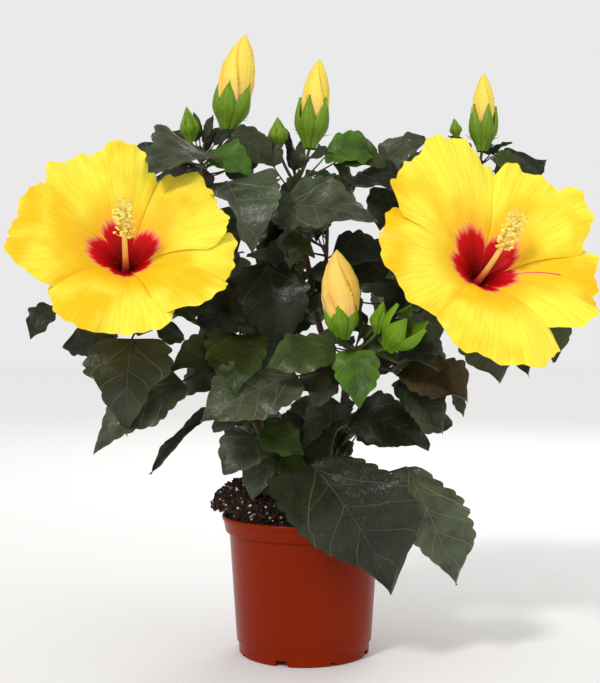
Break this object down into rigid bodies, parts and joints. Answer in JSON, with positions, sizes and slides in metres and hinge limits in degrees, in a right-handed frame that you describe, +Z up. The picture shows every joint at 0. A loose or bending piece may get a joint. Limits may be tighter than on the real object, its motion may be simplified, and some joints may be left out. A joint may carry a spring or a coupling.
{
  "type": "potted hibiscus shrub",
  "caption": "Small hibiscus shrub with large open yellow blooms with a red eye, tall closed buds and dark toothed leaves, growing in a round red-brown nursery pot with a notched foot.",
  "frame": {"origin": "middle of the flat pad in the centre of the pot's underside, on the level that the pot stands on", "axes": "+Z straight up through the pot's axis; -Y toward the front, which the open blooms face; +X to the right as seen from the front"},
  "size_m": [0.4263, 0.3239, 0.4899],
  "materials": {
    "pot_plastic": "gloss",
    "potting_soil": "matte",
    "young_bark": "matte",
    "petals": "satin",
    "leaves": "satin"
  },
  "bodies": {
    "root": {"pot": "pot_plastic", "soil": "potting_soil", "main_stem": "young_bark", "left_low_bough": "young_bark", "left_bough": "young_bark", "left_top_bough": "young_bark", "left_side_bough": "young_bark", "middle_low_bough": "young_bark", "middle_bough": "young_bark", "right_bough": "young_bark", "right_upper_bough": "young_bark", "right_top_bough": "young_bark", "front_bough": "young_bark", "back_bough": "young_bark", "back_left_bough": "young_bark", "back_right_bough": "young_bark", "left_bloom": "petals", "right_bloom": "petals", "left_top_leaves": "leaves", "middle_leaves": "leaves", "right_top_leaves": "leaves", "right_side_leaves": "leaves", "right_low_leaves": "leaves", "front_leaves": "leaves", "left_side_leaves": "leaves", "centre_leaves": "leaves", "left_centre_leaves": "leaves", "foot_left_leaves": "leaves", "foot_front_leaves": "leaves", "foot_back_leaves": "leaves", "low_back_leaves": "leaves", "back_left_leaves": "leaves", "back_middle_leaves": "leaves", "back_right_leaves": "leaves"}
  },
  "joints": []
}
